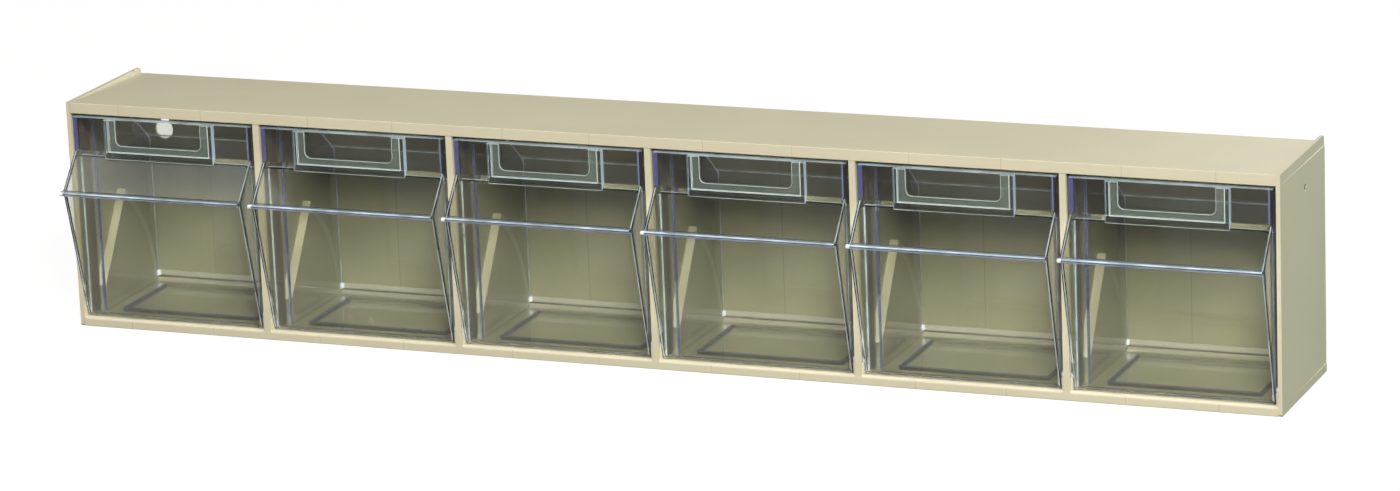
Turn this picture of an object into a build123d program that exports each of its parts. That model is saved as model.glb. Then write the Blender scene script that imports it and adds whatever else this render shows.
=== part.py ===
from build123d import *
import os
from math import atan2, cos, radians, sin, sqrt, tan

# Tip-out bin cabinet: a moulded cabinet of six cells, each closed by a clear bin that tips forward.
# Millimetres. +X right, +Y to the back, +Z up. The origin is the middle of the cabinet's base.
# Depths in the profiles below are measured back from the cabinet's front plane.

# Cabinet
cabinet_width = 600.0
cabinet_height = 111.0
cabinet_depth = 74.0
cell_count = 6
end_wall = 2.0
divider_wall = 3.1
back_wall = 2.0
roof_wall = 2.2
roof_drop = 2.7
floor_wall = 2.4
bead_depth = 3.0
top_bead_height = 5.4
bottom_bead_height = 4.5
bead_bevel = 0.8
end_corner_bevel = 0.8
end_rear_radius = 1.6

# Thin wedges off the end walls' outsides, which leave a fine ledge above the base and below the rim
field_bottom = 3.9
field_start = 16.0
field_recess = 0.2
rim_bottom = 106.1
rim_start = 3.0
rim_recess = 0.45

# Guide sectors that centre the bins in their cells
sector_wall = 4.0
sector_radius = 69.0
sector_centre = (1.0, 2.0)
sector_face_top = (41.3, 57.0)
sector_face_angle = 57.4

# Hinge: pins on the bins run in blind sockets in the cell walls
hinge_depth = 2.6
hinge_height = 11.5
pin_radius = 1.4
pin_clearance = 0.08
pin_reach = 0.75
socket_depth = 0.9
post_wall = 1.1
post_front = 1.3
post_depth = 4.2
post_height = 10.8
cradle_radius = 1.6
swing_clearance_radius = 14.2

# Holes for fastening
keyhole_offset = 285.75
keyhole_height = 81.0
keyhole_radius = 4.8
keyhole_slot_radius = 2.45
keyhole_slot_rise = 7.5
side_hole_radius = 1.2
side_hole_depth = 41.0
side_hole_height = 95.0
side_hole_mouth_radius = 1.8
side_hole_mouth_depth = 0.5

# Bins
bin_side_gap = 1.4
bin_top = 104.5
bin_floor = 3.9
bin_toe = 5.0
toe_depth = 5.0
toe_slope_depth = 1.5
toe_radius = 1.2
front_wall = 1.8
band_wall = 2.0
side_wall = 1.9
cheek_wall = 1.2
rear_side_wall = 1.4
rear_wall = 1.4
bin_floor_wall = 1.6
shoulder_depth = 14.3
shoulder_step = 3.2
rear_depth = 70.5
rear_height = 78.5
side_arc_radius = 93.4
front_foot_depth = 1.8
apex_reach = 14.3
apex_height = 69.6
fold_height = 88.0
prism_bottom = 84.5
lip_reach = 19.0
lip_thickness = 1.8
lip_edge_radius = 0.85
heel_radius = 3.0
cavity_corner_radius = 2.0
well_wall = 1.4
well_drop = 1.3
well_front = 17.0
well_back = 63.0
well_side_margin = 10.5
well_corner_radius = 2.0

# Card pocket on each bin's top band
holder_width = 57.4
holder_reach = 3.0
holder_top = 104.2
holder_bottom = 84.9
holder_shift = -0.7
pocket_width = 53.2
pocket_bottom = 88.4
pocket_gap = 1.0
pocket_front_wall = 1.0
window_width = 44.9
window_bottom = 91.8
window_corner_radius = 2.8

# Worked out from the sizes above
front_plane = -cabinet_depth / 2
cell_width = (cabinet_width - 2 * end_wall - (cell_count - 1) * divider_wall) / cell_count
cell_pitch = cell_width + divider_wall
inner_width = cabinet_width - 2 * end_wall
back_plane_depth = cabinet_depth - back_wall
bin_width = cell_width - 2 * bin_side_gap
bin_half = bin_width / 2
rear_half = bin_half - shoulder_step
well_half = bin_half - well_side_margin
floor_level = bin_floor + bin_floor_wall
toe_level = bin_toe + bin_floor_wall
open_top = cabinet_height + 10.0
hinge_point = (hinge_depth, hinge_height)


def profile(points):
    """A closed face in the Y-Z plane from (depth, height) points, given front plane first."""
    placed = [(front_plane + depth, height) for depth, height in points]
    return Plane.YZ * make_face(Polyline(*placed, close=True))


def across(face, half_width, middle=0.0):
    """The face drawn out to both sides along X."""
    return Pos(middle, 0, 0) * extrude(face, amount=half_width, both=True)


def slab(x_low, x_high, points):
    """The profile drawn out between two X positions."""
    return across(profile(points), (x_high - x_low) / 2, (x_low + x_high) / 2)


def rod(radius, x_low, x_high, depth, height):
    """A round bar along X."""
    middle = (x_low + x_high) / 2
    return Pos(middle, front_plane + depth, height) * Rot(0, 90, 0) * Cylinder(radius, x_high - x_low)


def roof_underside(depth):
    return cabinet_height - roof_wall - roof_drop * depth / cabinet_depth


def cell_middle(index):
    return (index - (cell_count - 1) / 2) * cell_pitch


def divider_middle(index):
    return (index - (cell_count - 2) / 2) * cell_pitch


# Cabinet walls
def top_panel():
    bead_bottom = cabinet_height - top_bead_height
    return slab(-inner_width / 2, inner_width / 2, [
        (0, bead_bottom), (bead_depth, bead_bottom), (bead_depth, roof_underside(bead_depth)),
        (cabinet_depth, roof_underside(cabinet_depth)),
        (cabinet_depth, cabinet_height - roof_drop), (0, cabinet_height)])


def bottom_panel():
    return slab(-inner_width / 2, inner_width / 2, [
        (0, 0), (0, bottom_bead_height - bead_bevel), (bead_bevel, bottom_bead_height),
        (bead_depth, bottom_bead_height), (bead_depth, floor_wall),
        (cabinet_depth, floor_wall), (cabinet_depth, 0)])


def keyhole(x):
    """A round hole for a screw head with a narrower slot above it."""
    head = Cylinder(keyhole_radius, 4 * back_wall)
    slot = Box(2 * keyhole_slot_radius, keyhole_slot_rise, 4 * back_wall)
    slot_end = Pos(0, keyhole_slot_rise, 0) * Cylinder(keyhole_slot_radius, 4 * back_wall)
    opening = head + Pos(0, keyhole_slot_rise / 2, 0) * slot + slot_end
    place = Pos(x, front_plane + cabinet_depth - back_wall / 2, keyhole_height)
    return place * Rot(90, 0, 0) * opening


def back_panel():
    panel = slab(-inner_width / 2, inner_width / 2, [
        (back_plane_depth, floor_wall), (cabinet_depth, floor_wall),
        (cabinet_depth, roof_underside(cabinet_depth)),
        (back_plane_depth, roof_underside(back_plane_depth))])
    return panel - keyhole(-keyhole_offset) - keyhole(keyhole_offset)


def guide_sector(x_low, x_high):
    """A quarter-round pad with a straight leaning face, cut back round the hinge."""
    arc_end = (sector_centre[0] + sqrt(sector_radius ** 2 - (floor_wall - sector_centre[1]) ** 2),
               floor_wall)
    arc_start_angle = atan2(sector_face_top[1] - sector_centre[1], sector_face_top[0] - sector_centre[0])
    arc_start = (sector_centre[0] + sector_radius * cos(arc_start_angle),
                 sector_centre[1] + sector_radius * sin(arc_start_angle))
    arc_middle = (sector_centre[0] + sector_radius * cos(arc_start_angle / 2),
                  sector_centre[1] + sector_radius * sin(arc_start_angle / 2))
    face_foot_depth = arc_start[0] - (arc_start[1] - floor_wall) / tan(radians(sector_face_angle))
    face_foot = (face_foot_depth, floor_wall)

    def placed(point):
        return (front_plane + point[0], point[1])

    edges = Line(placed(arc_end), placed(face_foot))
    edges += Line(placed(face_foot), placed(arc_start))
    edges += ThreePointArc(placed(arc_start), placed(arc_middle), placed(arc_end))
    pad = across(Plane.YZ * make_face(edges), (x_high - x_low) / 2, (x_low + x_high) / 2)
    return pad - rod(swing_clearance_radius, x_low - 1, x_high + 1, *hinge_point)


def hinge_post(x_low, x_high):
    """A short post whose hollowed top cradles the bin's pin."""
    post = slab(x_low, x_high, [
        (post_front, bottom_bead_height), (post_front, post_height),
        (post_front + post_depth, post_height), (post_front + post_depth, floor_wall),
        (bead_depth, floor_wall), (bead_depth, bottom_bead_height)])
    return post - rod(cradle_radius, x_low - 1, x_high + 1, *hinge_point)


def cell_side_fittings(wall_face, inward):
    """The guide sector and hinge post on one side of a cell wall; inward is +1 or -1 along X."""
    def span(thickness):
        return sorted((wall_face, wall_face + inward * thickness))

    return guide_sector(*span(sector_wall)) + hinge_post(*span(post_wall))


def hinge_socket(wall_face, inward):
    """The blind round hole in a cell wall that the bin's pin runs in."""
    x_low, x_high = sorted((wall_face + inward, wall_face - inward * socket_depth))
    return rod(pin_radius + pin_clearance, x_low, x_high, *hinge_point)


def divider(index):
    middle = divider_middle(index)
    left_face = middle - divider_wall / 2
    right_face = middle + divider_wall / 2
    wall = slab(left_face, right_face, [
        (0, bottom_bead_height - bead_bevel), (bead_bevel, bottom_bead_height),
        (bead_depth, bottom_bead_height), (bead_depth, floor_wall),
        (back_plane_depth, floor_wall), (back_plane_depth, roof_underside(back_plane_depth)),
        (bead_depth, roof_underside(bead_depth)), (bead_depth, cabinet_height - top_bead_height),
        (0, cabinet_height - top_bead_height)])
    wall += cell_side_fittings(left_face, -1)
    wall += cell_side_fittings(right_face, 1)
    return wall - hinge_socket(left_face, -1) - hinge_socket(right_face, 1)


def outside_wedge(side, bottom, start, recess):
    """A wedge off an end wall's outside, from nothing at its start to the full recess at the back."""
    outer_face = side * cabinet_width / 2
    outline = Polyline(
        (outer_face, front_plane + start), (outer_face + side, front_plane + start),
        (outer_face + side, front_plane + cabinet_depth),
        (outer_face - side * recess, front_plane + cabinet_depth), close=True)
    return Pos(0, 0, bottom) * extrude(make_face(outline), amount=cabinet_height, dir=(0, 0, 1))


def side_hole(side):
    """A small hole through an end wall, with a coned mouth on the outside."""
    hole = rod(side_hole_radius, -end_wall, end_wall, side_hole_depth, side_hole_height)
    cone = Cone(side_hole_radius, side_hole_mouth_radius, side_hole_mouth_depth)
    place = Pos(side * (end_wall - side_hole_mouth_depth) / 2, front_plane + side_hole_depth,
                side_hole_height)
    hole += place * Rot(0, side * 90, 0) * cone
    return Pos(side * (cabinet_width - end_wall) / 2, 0, 0) * hole


def end_panel(side):
    """An end wall; side is -1 for the left one and +1 for the right one."""
    inner_face = side * inner_width / 2
    x_low, x_high = sorted((inner_face, side * cabinet_width / 2))
    wall = slab(x_low, x_high, [
        (0, end_corner_bevel), (0, cabinet_height), (cabinet_depth, cabinet_height),
        (cabinet_depth, 0), (end_corner_bevel, 0)])
    top_rear = wall.edges().filter_by(Axis.X).sort_by(lambda edge: edge.center().Y + edge.center().Z)[-1]
    wall = fillet(top_rear, end_rear_radius)
    wall -= outside_wedge(side, field_bottom, field_start, field_recess)
    wall -= outside_wedge(side, rim_bottom, rim_start, rim_recess)
    wall += cell_side_fittings(inner_face, -side)
    wall -= hinge_socket(inner_face, -side)
    return wall - side_hole(side)


# Bins
def lean_direction():
    """Unit direction up the lower front wall, from its foot to the pull lip."""
    run = -apex_reach - front_foot_depth
    rise = apex_height - bin_toe
    length = sqrt(run ** 2 + rise ** 2)
    return run / length, rise / length


def upper_slope():
    """Rise per unit of depth of the upper front wall, from the lip back to the fold."""
    return (fold_height - apex_height - lip_thickness) / apex_reach


def arc_height(depth):
    """Height of the arc that the bin's top edges follow, struck about the hinge."""
    return hinge_height + sqrt(side_arc_radius ** 2 - (depth - hinge_depth) ** 2)


def arc_depth(height):
    return hinge_depth + sqrt(side_arc_radius ** 2 - (height - hinge_height) ** 2)


def front_block():
    """Outside of the wide front part: toe, leaning wall, lip, upper wall and top band."""
    lip_top = apex_height + lip_thickness
    block = slab(-bin_half, bin_half, [
        (front_foot_depth, bin_toe), (-apex_reach, apex_height), (-lip_reach, apex_height),
        (-lip_reach, lip_top), (-apex_reach, lip_top), (0, fold_height), (0, bin_top),
        (arc_depth(bin_top), bin_top), (shoulder_depth, arc_height(shoulder_depth)),
        (shoulder_depth, bin_floor), (toe_depth + toe_slope_depth, bin_floor), (toe_depth, bin_toe)])
    lip_edges = block.edges().filter_by(Axis.X).group_by(Axis.Y)[0]
    block = fillet(lip_edges, lip_edge_radius)
    foot = (front_plane + front_foot_depth, bin_toe)
    toe_edge = block.edges().filter_by(Axis.X).sort_by(
        lambda edge: abs(edge.center().Y - foot[0]) + abs(edge.center().Z - foot[1]))[0]
    return fillet(toe_edge, toe_radius)


def rear_block():
    """Outside of the narrow rear part, with side walls under the arc and a taller back wall."""
    start = shoulder_depth - rear_side_wall
    arc_rear = (rear_depth, arc_height(rear_depth))
    arc_front = (start, arc_height(start))
    middle_depth = (rear_depth + start) / 2
    arc_middle = (middle_depth, arc_height(middle_depth))

    def placed(point):
        return (front_plane + point[0], point[1])

    edges = Line(placed(arc_front), placed((start, bin_floor)))
    edges += Line(placed((start, bin_floor)), placed((rear_depth, bin_floor)))
    edges += Line(placed((rear_depth, bin_floor)), placed(arc_rear))
    edges += ThreePointArc(placed(arc_rear), placed(arc_middle), placed(arc_front))
    block = across(Plane.YZ * make_face(edges), rear_half)
    back = slab(-rear_half, rear_half, [
        (rear_depth - rear_wall, bin_floor), (rear_depth - rear_wall, rear_height),
        (rear_depth, rear_height), (rear_depth, bin_floor)])
    return block + back


def well(shrink, bottom, top):
    """The sunk part of the floor, shrunk all round by a wall."""
    length = well_back - well_front
    block = Box(2 * (well_half - shrink), length - 2 * shrink, top - bottom)
    block = fillet(block.edges().filter_by(Axis.Z), well_corner_radius - shrink / 2)
    middle = front_plane + (well_front + well_back) / 2
    return Pos(0, middle, (top + bottom) / 2) * block


def lower_inner_depth(height):
    """Depth of the inside of the lower front wall at a height."""
    run, rise = lean_direction()
    return front_foot_depth + front_wall / rise + (height - bin_toe) * run / rise


def upper_inner_depth(height):
    """Depth of the inside of the upper front wall at a height."""
    slope = upper_slope()
    return (height - fold_height) / slope + front_wall * sqrt(1 + slope ** 2) / slope


def front_cavity():
    """Hollow of the V-shaped front, between the cheeks."""
    run, rise = lean_direction()
    # The insides of the lower and upper front walls meet behind the pull lip
    gap_at_fold = upper_inner_depth(fold_height) - lower_inner_depth(fold_height)
    meet_height = fold_height - gap_at_fold / (1 / upper_slope() - run / rise)
    heel_depth = lower_inner_depth(toe_level)
    cavity = slab(-bin_half, bin_half, [
        (heel_depth, toe_level), (lower_inner_depth(meet_height), meet_height),
        (upper_inner_depth(prism_bottom), prism_bottom), (heel_depth, prism_bottom)])
    outline = Rectangle(bin_width - 2 * cheek_wall, prism_bottom - toe_level)
    outline = fillet(outline.vertices().group_by(Axis.Y)[-1], cavity_corner_radius)
    outline = Pos(0, front_plane, (prism_bottom + toe_level) / 2) * Rot(90, 0, 0) * outline
    return cavity & extrude(outline, amount=2 * apex_reach, both=True)


def middle_cavity():
    """Hollow between the side walls, from the band back to the shoulder."""
    heel_depth = lower_inner_depth(toe_level)
    return slab(-bin_half + side_wall, bin_half - side_wall, [
        (heel_depth, toe_level), (heel_depth, prism_bottom), (band_wall, prism_bottom),
        (band_wall, open_top), (shoulder_depth - rear_side_wall, open_top),
        (shoulder_depth - rear_side_wall, floor_level),
        (toe_depth + 2 * toe_slope_depth, floor_level), (toe_depth + toe_slope_depth, toe_level)])


def rear_cavity():
    """Hollow of the narrow rear part, with a rounded heel where floor and back wall meet."""
    inner_back = rear_depth - rear_wall
    cavity = slab(-rear_half + rear_side_wall, rear_half - rear_side_wall, [
        (toe_depth + 3 * toe_slope_depth, floor_level), (toe_depth + 3 * toe_slope_depth, open_top),
        (inner_back, open_top), (inner_back, floor_level)])
    heel = cavity.edges().filter_by(Axis.X).group_by(Axis.Y)[-1].sort_by(Axis.Z)[0]
    return fillet(heel, heel_radius)


def hinge_pins():
    left = rod(pin_radius, -bin_half - bin_side_gap - pin_reach, -bin_half + side_wall / 2, *hinge_point)
    return left + mirror(left, about=Plane.YZ)


def bin_shell():
    shell = front_block() + rear_block()
    shell += well(0, bin_floor - well_drop, bin_floor + bin_floor_wall / 2)
    shell -= front_cavity()
    shell -= middle_cavity()
    shell -= rear_cavity()
    shell -= well(well_wall, floor_level - well_drop, floor_level + bin_floor_wall)
    return shell + hinge_pins()


def label_holder():
    """A card pocket: plain back, open top, and a U-shaped front rim round its window."""
    slope = upper_slope()

    def slope_height(depth):
        return fold_height + depth * slope

    block = slab(holder_shift - holder_width / 2, holder_shift + holder_width / 2, [
        (-holder_reach, holder_bottom), (-holder_reach, holder_top), (0, holder_top), (0, fold_height),
        ((holder_bottom - fold_height) / slope, holder_bottom)])
    card_front = -holder_reach + pocket_front_wall
    card = slab(holder_shift - pocket_width / 2, holder_shift + pocket_width / 2, [
        (card_front, pocket_bottom), (card_front, open_top),
        (card_front + pocket_gap, open_top), (card_front + pocket_gap, pocket_bottom)])
    window = Box(window_width, 4 * pocket_front_wall, 2 * (open_top - window_bottom))
    window = fillet(window.edges().filter_by(Axis.Y).group_by(Axis.Z)[0], window_corner_radius)
    window = Pos(holder_shift, front_plane - holder_reach - pocket_front_wall, open_top) * window
    return block - card - window


def write(name, shape):
    shape.label = name
    export_step(shape, os.path.join("parts", name + ".step"))


def main():
    os.makedirs("parts", exist_ok=True)
    write("top_panel", top_panel())
    write("bottom_panel", bottom_panel())
    write("back_panel", back_panel())
    write("end_panel_left", end_panel(-1))
    write("end_panel_right", end_panel(1))
    for index in range(cell_count - 1):
        write(f"divider_{index + 1}", divider(index))
    shell = bin_shell()
    holder = label_holder()
    for index in range(cell_count):
        place = Pos(cell_middle(index), 0, 0)
        write(f"bin_{index + 1}", place * shell)
        write(f"bin_{index + 1}_label_holder", place * holder)


main()
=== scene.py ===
from math import cos, radians, sin

import bpy
from mathutils import Matrix, Vector

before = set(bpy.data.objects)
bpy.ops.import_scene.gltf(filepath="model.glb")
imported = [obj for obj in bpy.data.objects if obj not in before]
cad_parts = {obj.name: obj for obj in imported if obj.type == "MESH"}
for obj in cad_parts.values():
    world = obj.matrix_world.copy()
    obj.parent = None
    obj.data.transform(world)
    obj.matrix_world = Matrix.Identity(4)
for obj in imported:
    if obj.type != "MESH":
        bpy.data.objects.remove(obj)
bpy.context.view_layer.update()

# Frame of the CAD: +X right, +Y to the back, +Z up, the origin in the middle of the base
# In metres
cell_pitch = 0.09985
front_plane = -0.037

# In millimetres, apart from the angle and the slope of the scuffs. A depth is measured from the
# front plane to the back, and a height from the base.
hinge_depth = 2.6
hinge_height = 11.5
pad_face_top = (41.3, 57.0)
pad_face_angle = radians(57.4)
pad_centre = (1.0, 2.0)
scuff_rise = 0.83
scuff_run = 0.55
scuff_period = 1.6
pocket_shift = -0.7

# Camera, solved from the corners of the cabinet in the photograph
photo_width = 1400
photo_focal_pixels = 5496.8
camera_place = (0.94551, -2.28988, 0.72174)
camera_azimuth = radians(22.237)
camera_elevation = radians(15.186)
camera_roll = radians(-2.254)
sensor_width = 36.0

# Light of the room and of the backdrop, and what a glossy bounce takes off the backdrop
room_strength = 0.045
backdrop_strength = 1.0
floor_glow = 0.92
glossy_loss = 0.7

# Span of the noise that is used, where most of its values lie
noise_low = 0.3
noise_high = 0.7

# Clear plastic: how much its painted light and shade glow, and the share of the painted highlight
# on the rounded edges
painted_light_glow = 0.14
rounds_highlight_share = 0.45

# Rounds on the edges and the inset of the label holders, in metres
bin_round = 0.00028
holder_round = 0.0002
cabinet_round = 0.0004
holder_inset = 0.00003


# Camera, lamps and stage
def make_camera():
    backward = Vector((sin(camera_azimuth) * cos(camera_elevation),
                       -cos(camera_azimuth) * cos(camera_elevation), sin(camera_elevation)))
    level_right = (-backward).cross(Vector((0, 0, 1))).normalized()
    level_up = level_right.cross(-backward)
    right = level_right * cos(camera_roll) + level_up * sin(camera_roll)
    up = level_up * cos(camera_roll) - level_right * sin(camera_roll)
    data = bpy.data.cameras.new("camera")
    data.sensor_width = sensor_width
    data.lens = photo_focal_pixels * sensor_width / photo_width
    data.clip_end = 100
    camera = bpy.data.objects.new("camera", data)
    turn = Matrix((right, up, backward)).transposed()
    camera.matrix_world = Matrix.Translation(camera_place) @ turn.to_4x4()
    bpy.context.scene.collection.objects.link(camera)
    bpy.context.scene.camera = camera


def softbox(name, place, target, width, height, watts, colour):
    data = bpy.data.lights.new(name, "AREA")
    data.shape = "RECTANGLE"
    data.size = width
    data.size_y = height
    data.energy = watts
    data.color = colour
    lamp = bpy.data.objects.new(name, data)
    lamp.location = place
    aim = Vector(target) - Vector(place)
    lamp.rotation_euler = aim.to_track_quat("-Z", "Y").to_euler()
    bpy.context.scene.collection.objects.link(lamp)


def make_lamps():
    softbox("right_key", (0.98, -1.82, 1.6), (0, 0, 0.05), 0.7, 0.5, 73, (1.0, 0.985, 0.96))
    softbox("left_key", (-0.97, -1.87, 1.5), (0, 0, 0.05), 1.1, 0.3, 6, (1.0, 0.97, 0.92))
    softbox("side_fill", (2.4, -0.2, 0.8), (0.3, 0, 0.05), 1.0, 1.0, 12.5, (0.74, 1.0, 0.95))
    softbox("back_fill", (0.25, 2.5, 0.2), (0, 0, 0.05), 1.3, 0.36, 46, (1.0, 0.99, 0.97))
    softbox("left_fill", (-2.5, 0.4, 0.2), (-0.3, 0, 0.05), 1.0, 0.36, 30, (1.0, 0.99, 0.97))
    softbox("overhead", (-0.3, 0.6, 2.4), (0, 0, 0.1), 1.2, 1.2, 3.5, (0.7, 0.92, 1.0))
    softbox("upper_wall_sheen", (-1.69, -1.0, 2.2), (-0.2, 0, 0.08), 0.56, 0.5, 0.9,
            (0.95, 1.0, 0.97))


def new_nodes(tree, output_kind):
    tree.nodes.clear()
    return tree.nodes.new(output_kind)


def backdrop_share(tree):
    """1 for rays straight from the camera or through clear plastic, less after a glossy bounce."""
    path = tree.nodes.new("ShaderNodeLightPath")
    unlit = tree.nodes.new("ShaderNodeMath")
    unlit.operation = "SUBTRACT"
    tree.links.new(path.outputs["Is Transmission Ray"], unlit.inputs[0])
    tree.links.new(path.outputs["Diffuse Depth"], unlit.inputs[1])
    through = tree.nodes.new("ShaderNodeMath")
    through.operation = "MULTIPLY_ADD"
    through.use_clamp = True
    through.inputs[1].default_value = -glossy_loss
    tree.links.new(path.outputs["Glossy Depth"], through.inputs[0])
    tree.links.new(unlit.outputs[0], through.inputs[2])
    share = tree.nodes.new("ShaderNodeMath")
    share.operation = "MAXIMUM"
    tree.links.new(path.outputs["Is Camera Ray"], share.inputs[0])
    tree.links.new(through.outputs[0], share.inputs[1])
    return share.outputs[0]


def make_world():
    world = bpy.data.worlds.new("studio")
    world.use_nodes = True
    tree = world.node_tree
    output = new_nodes(tree, "ShaderNodeOutputWorld")
    room = tree.nodes.new("ShaderNodeBackground")
    room.inputs["Color"].default_value = (0.94, 1.0, 0.98, 1)
    room.inputs["Strength"].default_value = room_strength
    seen = tree.nodes.new("ShaderNodeBackground")
    seen.inputs["Strength"].default_value = backdrop_strength
    mix = tree.nodes.new("ShaderNodeMixShader")
    tree.links.new(backdrop_share(tree), mix.inputs["Fac"])
    tree.links.new(room.outputs[0], mix.inputs[1])
    tree.links.new(seen.outputs[0], mix.inputs[2])
    tree.links.new(mix.outputs[0], output.inputs["Surface"])
    bpy.context.scene.world = world


def make_floor():
    bpy.ops.mesh.primitive_grid_add(x_subdivisions=8, y_subdivisions=8, size=30, location=(0, 0, 0))
    floor = bpy.context.object
    floor.name = "floor"
    material = bpy.data.materials.new("floor_paper")
    material.use_nodes = True
    tree = material.node_tree
    output = new_nodes(tree, "ShaderNodeOutputMaterial")
    paper = tree.nodes.new("ShaderNodeBsdfDiffuse")
    paper.inputs["Color"].default_value = (0.12, 0.12, 0.115, 1)
    glow = tree.nodes.new("ShaderNodeEmission")
    glow.inputs["Color"].default_value = (1, 1, 1, 1)
    strength = tree.nodes.new("ShaderNodeMath")
    strength.operation = "MULTIPLY"
    strength.inputs[1].default_value = floor_glow
    add = tree.nodes.new("ShaderNodeAddShader")
    tree.links.new(backdrop_share(tree), strength.inputs[0])
    tree.links.new(strength.outputs[0], glow.inputs["Strength"])
    tree.links.new(paper.outputs[0], add.inputs[0])
    tree.links.new(glow.outputs[0], add.inputs[1])
    tree.links.new(add.outputs[0], output.inputs["Surface"])
    floor.data.materials.append(material)


# Materials
def mapped_noise(tree, scale, detail, low, high):
    """Noise over the part's own coordinates, spread between two values."""
    place = tree.nodes.new("ShaderNodeTexCoord")
    noise = tree.nodes.new("ShaderNodeTexNoise")
    noise.inputs["Scale"].default_value = scale
    noise.inputs["Detail"].default_value = detail
    spread = tree.nodes.new("ShaderNodeMapRange")
    spread.inputs["From Min"].default_value = noise_low
    spread.inputs["From Max"].default_value = noise_high
    spread.inputs["To Min"].default_value = low
    spread.inputs["To Max"].default_value = high
    tree.links.new(place.outputs["Object"], noise.inputs["Vector"])
    tree.links.new(noise.outputs["Fac"], spread.inputs["Value"])
    return spread.outputs["Result"]


# Marks on the cabinet, and painted light and shade on it, in millimetres: the spans that bound
# each, the colour that is mixed in and how strongly
cabinet_marks_and_painted_light = (
    # Painted shade: the inside of the cells is mixed darker than the outside
    ("painted shade inside the cells", {"aside": (0.0, 48.45), "depth": (3.1, 72.2), "height": (2.3, 108.0)},
     (0.385, 0.37, 0.262), 0.88),
    # Painted shade: a darker brown high in the cells, under the top
    ("painted shade high in the cells", {"aside": (0.0, 48.45), "depth": (3.1, 72.2), "height": (79.0, 108.0)},
     (0.29, 0.22, 0.13), 0.6),
    ("rims of the pads", {"aside": (44.3, 44.5), "depth": (20.0, 72.0), "pad_reach": (65.6, 69.2)},
     (0.58, 0.55, 0.43), 0.6),
    ("scuffs on the pads", {"aside": (44.3, 44.5), "depth": (18.0, 47.0), "height": (16.0, 48.0),
                            "pad_reach": (30.0, 64.0), "scuff": (0.0, 0.45)},
     (0.62, 0.59, 0.48), 0.3),
    # Painted light: the leaning faces of the pads are mixed paler, as where the lamp falls on them
    ("painted light on the leaning faces of the pads",
     {"aside": (44.3, 48.4), "depth": (4.0, 42.5), "height": (2.3, 57.6),
                                   "pad_face": (-0.5, 0.4)}, (0.80, 0.76, 0.60), 0.9),
    ("seam down the back wall",
     {"across": (-12.5, -12.1), "depth": (71.5, 72.5), "height": (6.0, 84.0)},
     (0.22, 0.17, 0.10), 0.5),
    ("left bead seam", {"across": (-22.5, -22.2), "depth": (-1.0, 0.3)}, (0.34, 0.29, 0.19), 0.4),
    ("right bead seam", {"across": (21.1, 21.4), "depth": (-1.0, 0.3)}, (0.34, 0.29, 0.19), 0.4),
    # Painted shade: dark brown on the divider faces in the gaps beside the bins
    ("painted shade in the gaps beside the bins", {"aside": (48.2, 48.6), "depth": (2.0, 16.0), "height": (4.0, 105.5)},
     (0.16, 0.12, 0.07), 0.7),
    # Painted shade: near-black in the bores of the side holes
    ("painted shade in the bores of the side holes",
     {"aside": (48.4, 49.9), "depth": (39.7, 42.3), "height": (93.7, 96.3)},
     (0.03, 0.025, 0.02), 0.9),
    # Painted highlights: pale lines along the rim ledges and the base ledges
    ("painted highlights on the rim ledges", {"aside": (49.4, 50.5), "depth": (3.0, 73.5), "height": (105.9, 106.3)},
     (0.95, 0.93, 0.78), 0.5),
    ("painted highlights on the base ledges", {"aside": (49.6, 50.5), "depth": (22.0, 73.5), "height": (3.7, 4.1)},
     (0.95, 0.93, 0.78), 0.4),
)


def cabinet_material():
    material = bpy.data.materials.new("cream_moulded_plastic")
    material.use_nodes = True
    tree = material.node_tree
    output = new_nodes(tree, "ShaderNodeOutputMaterial")
    plastic = tree.nodes.new("ShaderNodeBsdfPrincipled")
    colour = tree.nodes.new("ShaderNodeMix")
    colour.data_type = "RGBA"
    colour.inputs["A"].default_value = (0.66, 0.60, 0.435, 1)
    colour.inputs["B"].default_value = (0.70, 0.64, 0.465, 1)
    tree.links.new(mapped_noise(tree, 14, 4, 0, 1), colour.inputs["Factor"])
    shade = colour.outputs["Result"]
    at = measures(tree)
    # Mixes in the marks, the painted shade and the painted highlights of the table above
    for _, spans, mark_or_light_colour, strength in cabinet_marks_and_painted_light:
        mask = zone(tree, *((at[measure], low, high) for measure, (low, high) in spans.items()))
        mark = tree.nodes.new("ShaderNodeMix")
        mark.data_type = "RGBA"
        mark.inputs["B"].default_value = (*mark_or_light_colour, 1)
        tree.links.new(calculate(tree, "MULTIPLY", mask, strength), mark.inputs["Factor"])
        tree.links.new(shade, mark.inputs["A"])
        shade = mark.outputs["Result"]
    tree.links.new(shade, plastic.inputs["Base Color"])
    tree.links.new(mapped_noise(tree, 60, 3, 0.54, 0.62), plastic.inputs["Roughness"])
    bump = tree.nodes.new("ShaderNodeBump")
    bump.inputs["Strength"].default_value = 0.12
    bump.inputs["Distance"].default_value = 0.0002
    tree.links.new(mapped_noise(tree, 900, 2, 0, 1), bump.inputs["Height"])
    tree.links.new(bump.outputs["Normal"], plastic.inputs["Normal"])
    plastic.inputs["IOR"].default_value = 1.5
    plastic.inputs["Specular IOR Level"].default_value = 0.22
    tree.links.new(plastic.outputs[0], output.inputs["Surface"])
    return material


def calculate(tree, operation, *values, clamp=False):
    """A math node over sockets and plain numbers."""
    node = tree.nodes.new("ShaderNodeMath")
    node.operation = operation
    node.use_clamp = clamp
    for socket, value in zip(node.inputs, values):
        if isinstance(value, bpy.types.NodeSocket):
            tree.links.new(value, socket)
        else:
            socket.default_value = value
    return node.outputs[0]


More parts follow.
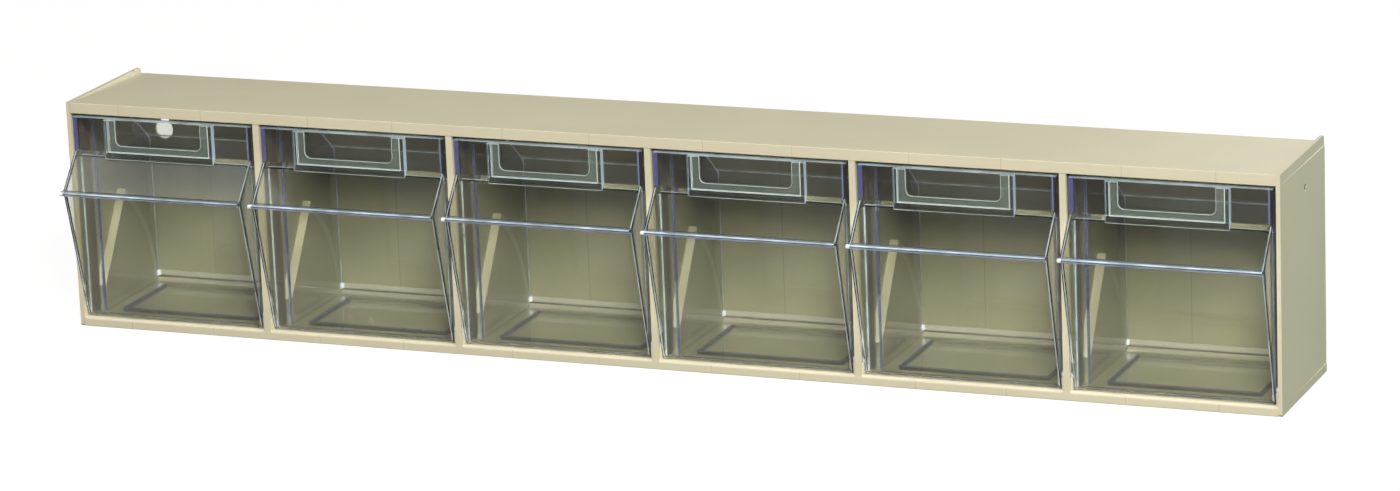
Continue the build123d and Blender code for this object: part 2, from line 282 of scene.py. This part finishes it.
def cell_place(tree):
    """Millimetres from the middle of the bin, behind the front plane and above the base."""
    place = tree.nodes.new("ShaderNodeTexCoord")
    parts = tree.nodes.new("ShaderNodeSeparateXYZ")
    tree.links.new(place.outputs["Object"], parts.inputs[0])
    across = calculate(tree, "WRAP", parts.outputs["X"], cell_pitch, 0.0)
    across = calculate(tree, "SUBTRACT", across, cell_pitch / 2)
    depth = calculate(tree, "SUBTRACT", parts.outputs["Y"], front_plane)
    return tuple(calculate(tree, "MULTIPLY", value, 1000.0)
                 for value in (across, depth, parts.outputs["Z"]))


def between(tree, value, low, high):
    return calculate(tree, "COMPARE", value, (low + high) / 2, (high - low) / 2)


def zone(tree, *spans):
    """1 where each value lies in its span, else 0."""
    inside = None
    for value, low, high in spans:
        here = between(tree, value, low, high)
        inside = here if inside is None else calculate(tree, "MULTIPLY", inside, here)
    return inside


def outline(tree, across, height, half_width, bottom, corner):
    """Distance from a U-shaped outline, open at the top."""
    side = calculate(tree, "SUBTRACT", calculate(tree, "ABSOLUTE", across), half_width - corner)
    side = calculate(tree, "MAXIMUM", side, 0.0)
    under = calculate(tree, "SUBTRACT", bottom + corner, height)
    under = calculate(tree, "MAXIMUM", under, 0.0)
    reach = calculate(tree, "SQRT", calculate(tree, "ADD", calculate(tree, "MULTIPLY", side, side),
                                              calculate(tree, "MULTIPLY", under, under)))
    return calculate(tree, "SUBTRACT", reach, corner)


def measures(tree, shift=0.0):
    """The distances that the zones below are given in, in millimetres."""
    across, depth, height = cell_place(tree)
    across = calculate(tree, "SUBTRACT", across, shift)

    def distance_from(centre):
        behind = calculate(tree, "SUBTRACT", depth, centre[0])
        above = calculate(tree, "SUBTRACT", height, centre[1])
        return calculate(tree, "SQRT",
                         calculate(tree, "ADD", calculate(tree, "MULTIPLY", behind, behind),
                                   calculate(tree, "MULTIPLY", above, above)))

    climb = calculate(tree, "SUBTRACT", calculate(tree, "MULTIPLY", height, scuff_rise),
                      calculate(tree, "MULTIPLY", depth, scuff_run))
    below_face = calculate(
        tree, "SUBTRACT",
        calculate(tree, "MULTIPLY", depth, sin(pad_face_angle)),
        calculate(tree, "MULTIPLY", height, cos(pad_face_angle)))
    face_offset = pad_face_top[0] * sin(pad_face_angle) - pad_face_top[1] * cos(pad_face_angle)
    return {"across": across, "aside": calculate(tree, "ABSOLUTE", across), "depth": depth,
            "height": height, "reach": distance_from((hinge_depth, hinge_height)),
            "pad_reach": distance_from(pad_centre),
            "scuff": calculate(tree, "WRAP", climb, scuff_period, 0.0),
            "pad_face": calculate(tree, "SUBTRACT", below_face, face_offset)}


# Every zone below is painted light or painted shade: highlights, glints, bright and dark edge lines
# and dark patches on the clear plastic
# Painted zones of the clear plastic, in millimetres, where its edges fill with light or dark in the
# photograph: the spans that bound each, its colour, its share and whether it is patchy
bin_painted_light_and_shade = (
    ("upper sides", {"aside": (46.6, 47.4), "depth": (0.9, 14.4), "height": (80.0, 105.0)},
     (0.06, 0.052, 0.042), 0.26, False),
    ("lower sides", {"aside": (46.6, 47.4), "depth": (0.9, 14.4), "height": (3.0, 80.0)},
     (0.12, 0.11, 0.09), 0.13, False),
    ("right side wall", {"across": (44.9, 47.4), "depth": (0.9, 14.4)},
     (0.08, 0.072, 0.064), 0.2, False),
    ("right cheek", {"across": (46.9, 47.1), "depth": (-16.0, 0.9)},
     (0.16, 0.155, 0.14), 0.2, True),
    ("line down the right cheek",
     {"across": (46.9, 47.1), "depth": (-1.6, -0.4), "height": (5.0, 87.0)},
     (0.60, 0.68, 0.82), 0.65, True),
    ("left end of the band",
     {"across": (-47.2, -44.9), "depth": (-0.6, 0.7), "height": (88.2, 105.0)},
     (0.13, 0.14, 0.36), 0.6, False),
    ("right end of the band",
     {"across": (45.7, 47.2), "depth": (-0.6, 0.7), "height": (88.2, 105.0)},
     (0.05, 0.042, 0.045), 0.5, False),
    ("line in the right end",
     {"across": (44.9, 45.7), "depth": (-0.6, 0.7), "height": (88.2, 105.0)},
     (0.22, 0.26, 0.50), 0.6, False),
    ("top of the band", {"aside": (0.0, 47.2), "depth": (-0.6, 2.2), "height": (103.9, 105.0)},
     (0.50, 0.62, 0.68), 0.55, True),
    ("front edges of the side walls",
     {"aside": (45.0, 45.85), "depth": (2.9, 3.8), "height": (6.0, 84.6)},
     (0.62, 0.72, 0.70), 0.6, True),
    ("upper shoulders", {"aside": (42.3, 43.9), "depth": (12.5, 13.3), "height": (40.0, 105.0)},
     (0.10, 0.11, 0.22), 0.6, False),
    ("lower shoulders", {"aside": (42.3, 43.9), "depth": (12.5, 13.3), "height": (3.0, 40.0)},
     (0.10, 0.12, 0.30), 0.6, True),
    ("cheek lines", {"aside": (45.95, 46.45), "depth": (-17.0, 1.5), "height": (6.0, 87.5)},
     (0.75, 0.84, 0.86), 0.65, True),
    ("front of the floor well", {"aside": (0.0, 36.6), "depth": (17.7, 18.9), "height": (2.4, 5.7)},
     (0.03, 0.04, 0.17), 0.75, False),
    ("sides of the floor well",
     {"aside": (35.0, 36.1), "depth": (17.7, 63.0), "height": (2.4, 5.7)},
     (0.06, 0.07, 0.16), 0.5, False),
    ("rear corners", {"aside": (42.9, 43.9), "depth": (68.7, 70.7), "height": (9.0, 78.6)},
     (0.78, 0.84, 0.95), 0.7, True),
    ("top of the rear wall", {"aside": (0.0, 43.9), "depth": (69.0, 70.7), "height": (78.1, 78.7)},
     (0.85, 0.95, 1.0), 0.8, True),
    ("side arcs", {"aside": (42.2, 43.9), "depth": (14.0, 70.7), "reach": (92.9, 93.6)},
     (0.75, 0.84, 0.92), 0.7, True),
    ("light foot of the rear wall",
     {"aside": (0.0, 42.4), "depth": (68.7, 70.7), "height": (7.6, 10.2)},
     (0.66, 0.64, 0.54), 0.3, False),
    ("dark foot of the rear wall",
     {"aside": (0.0, 42.4), "depth": (67.9, 70.7), "height": (6.9, 7.6)},
     (0.03, 0.025, 0.02), 0.6, False),
    ("heel", {"aside": (0.0, 42.4), "depth": (65.5, 70.7), "height": (5.4, 6.9)},
     (0.40, 0.38, 0.28), 0.6, False),
    # Painted glint: a bright bluish-white spot low in the left corner of the rear wall
    ("painted glint in the left corner",
     {"across": (-43.9, -41.7), "depth": (67.4, 70.7), "height": (7.6, 10.0)},
     (0.85, 0.90, 1.0), 0.85, False),
    ("lip top", {"depth": (-18.5, -15.0), "height": (71.1, 71.6)}, (0.24, 0.30, 0.40), 0.5, True),
    ("lip crest", {"depth": (-25.0, -18.0), "height": (70.95, 71.6)},
     (0.80, 0.90, 1.0), 0.85, True),
    ("lip core", {"depth": (-25.0, -17.3), "height": (70.3, 70.95)},
     (0.09, 0.13, 0.24), 0.6, False),
    ("lip foot", {"depth": (-25.0, -17.3), "height": (69.5, 70.3)}, (0.55, 0.66, 0.85), 0.75, True),
    ("left end of the lip", {"across": (-47.2, -45.2), "depth": (-25.0, -17.6)},
     (0.92, 0.96, 1.0), 0.9, False),
    # Painted light: a pale strip under the band, where light comes through the fold
    ("painted light strip under the band", {"depth": (1.3, 1.9), "height": (84.1, 84.9)},
     (0.80, 0.92, 0.80), 0.7, True),
    # Painted glints on the toe corners and the pin ends
    ("painted glints on the toe corners", {"aside": (45.2, 46.3), "depth": (1.6, 4.4), "height": (5.6, 9.4)},
     (0.85, 0.90, 0.92), 0.6, True),
    ("painted glints on the pin ends", {"aside": (47.3, 48.0), "depth": (0.9, 4.3), "height": (9.9, 13.1)},
     (0.85, 0.90, 0.95), 0.6, False),
)

# Painted highlights on the sides and edges of the label holder, and a grey-green mixed into its U
# band; all of these glow a little
holder_zones = (
    ("grey-green U band", {"aside": (0.0, 26.7), "depth": (-2.3, -1.7), "height": (88.3, 104.0)},
     (0.45, 0.56, 0.48), 0.14, False),
    ("left side", {"across": (-29.0, -28.4), "depth": (-2.9, -0.1)},
     (0.30, 0.34, 0.38), 0.3, False),
    ("right side", {"across": (28.4, 29.0), "depth": (-2.9, -0.1)}, (0.60, 0.72, 0.84), 0.6, False),
    ("bottom edge", {"depth": (-3.2, -2.3), "height": (84.6, 85.1)}, (0.80, 0.86, 0.84), 0.6, True),
    ("top edge", {"depth": (-3.2, 0.0), "height": (103.8, 104.4)}, (0.60, 0.72, 0.74), 0.55, True),
)

# Outlines drawn on the card pocket's front as painted highlights: half width, bottom and corner
# radius
pocket_outlines = ((26.6, 88.4, 0.6), (22.45, 91.8, 2.8))
outline_half_width = 0.28
outline_highlight_colour = (0.66, 0.78, 0.74)
outline_highlight_share = 0.6


def zone_layers(tree, zones, at):
    """The mask, colour and share of each zone in a table."""
    patchy = mapped_noise(tree, 90, 2, 0.45, 1.0)
    layers = []
    for _, spans, colour, share, is_patchy in zones:
        mask = zone(tree, *((at[measure], low, high) for measure, (low, high) in spans.items()))
        if is_patchy:
            mask = calculate(tree, "MULTIPLY", mask, patchy)
        layers.append((mask, colour, share))
    return layers


def bin_layers(tree):
    return zone_layers(tree, bin_painted_light_and_shade, measures(tree))


def holder_layers(tree):
    at = measures(tree, pocket_shift)
    layers = zone_layers(tree, holder_zones, at)
    front = between(tree, at["depth"], -4.0, -2.7)
    for half_width, bottom, corner in pocket_outlines:
        distance = outline(tree, at["across"], at["height"], half_width, bottom, corner)
        line = between(tree, distance, -outline_half_width, outline_half_width)
        layers.append((calculate(tree, "MULTIPLY", line, front), outline_highlight_colour, outline_highlight_share))
    return layers


def clear_material(name, layers_of, edge_share):
    """Clear plastic that lets the lamps through; its painted highlights and shade glow a little."""
    material = bpy.data.materials.new(name)
    material.use_nodes = True
    tree = material.node_tree
    output = new_nodes(tree, "ShaderNodeOutputMaterial")
    plastic = tree.nodes.new("ShaderNodeBsdfPrincipled")
    plastic.inputs["Base Color"].default_value = (0.91, 0.91, 0.85, 1)
    plastic.inputs["Transmission Weight"].default_value = 1.0
    plastic.inputs["IOR"].default_value = 1.57
    tree.links.new(mapped_noise(tree, 40, 3, 0.0, 0.04), plastic.inputs["Roughness"])
    glowing = tree.nodes.new("ShaderNodeBsdfPrincipled")
    glowing.inputs["Roughness"].default_value = 0.25
    glowing.inputs["Emission Strength"].default_value = painted_light_glow
    # Outside the zones, edge_share of the surface is a painted bluish-white highlight
    colour = None
    share = edge_share
    for mask, layer_colour, layer_share in layers_of(tree):
        layer = tree.nodes.new("ShaderNodeMix")
        layer.data_type = "RGBA"
        layer.inputs["A"].default_value = (0.66, 0.78, 0.84, 1)
        layer.inputs["B"].default_value = (*layer_colour, 1)
        tree.links.new(mask, layer.inputs["Factor"])
        if colour is not None:
            tree.links.new(colour, layer.inputs["A"])
        colour = layer.outputs["Result"]
        share = calculate(tree, "MAXIMUM", calculate(tree, "MULTIPLY", mask, layer_share), share)
    tree.links.new(colour, glowing.inputs["Base Color"])
    tree.links.new(colour, glowing.inputs["Emission Color"])
    body = tree.nodes.new("ShaderNodeMixShader")
    tree.links.new(share, body.inputs["Fac"])
    tree.links.new(plastic.outputs[0], body.inputs[1])
    tree.links.new(glowing.outputs[0], body.inputs[2])
    clear = tree.nodes.new("ShaderNodeBsdfTransparent")
    clear.inputs["Color"].default_value = (0.79, 0.79, 0.75, 1)
    path = tree.nodes.new("ShaderNodeLightPath")
    mix = tree.nodes.new("ShaderNodeMixShader")
    tree.links.new(path.outputs["Is Shadow Ray"], mix.inputs["Fac"])
    tree.links.new(body.outputs[0], mix.inputs[1])
    tree.links.new(clear.outputs[0], mix.inputs[2])
    tree.links.new(mix.outputs[0], output.inputs["Surface"])
    inside = tree.nodes.new("ShaderNodeVolumeAbsorption")
    inside.inputs["Color"].default_value = (0.45, 0.55, 0.92, 1)
    inside.inputs["Density"].default_value = 40.0
    tree.links.new(inside.outputs[0], output.inputs["Volume"])
    return material


def round_edges(node, width, segments, material_index):
    """Small rounds on the moulded edges, which catch the light; their faces take the material at
    material_index, which on the clear parts paints a highlight.
    """
    weld = node.modifiers.new("weld", "WELD")
    weld.merge_threshold = 1e-6
    flat = node.modifiers.new("flat_faces", "DECIMATE")
    flat.decimate_type = "DISSOLVE"
    flat.angle_limit = radians(1)
    rounds = node.modifiers.new("rounds", "BEVEL")
    rounds.width = width
    rounds.segments = segments
    rounds.limit_method = "ANGLE"
    rounds.angle_limit = radians(35)
    rounds.material = material_index
    shading = node.modifiers.new("shading", "WEIGHTED_NORMAL")
    shading.keep_sharp = False
    shading.weight = 100


def dress_nodes():
    cream = [cabinet_material()]
    # The second material of the clear parts goes on the faces of the rounds and paints a
    # bluish-white highlight there
    clear_bin = [clear_material("clear_bin_plastic", bin_layers, 0.0),
                 clear_material("clear_bin_edge_highlights", bin_layers, rounds_highlight_share)]
    clear_holder = [clear_material("clear_holder_plastic", holder_layers, 0.0),
                    clear_material("clear_holder_edge_highlights", holder_layers, rounds_highlight_share)]
    for name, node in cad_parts.items():
        if name.endswith("label_holder"):
            materials = clear_holder
            round_edges(node, holder_round, 2, 1)
            gap = node.modifiers.new("hairline_gap", "DISPLACE")
            gap.strength = -holder_inset
            gap.mid_level = 0.0
        elif name.startswith("bin_"):
            materials = clear_bin
            round_edges(node, bin_round, 2, 1)
        else:
            materials = cream
            round_edges(node, cabinet_round, 3, 0)
        node.data.materials.clear()
        for material in materials:
            node.data.materials.append(material)


make_camera()
make_world()
make_lamps()
make_floor()
dress_nodes()

scene = bpy.context.scene
scene.view_settings.view_transform = "Standard"
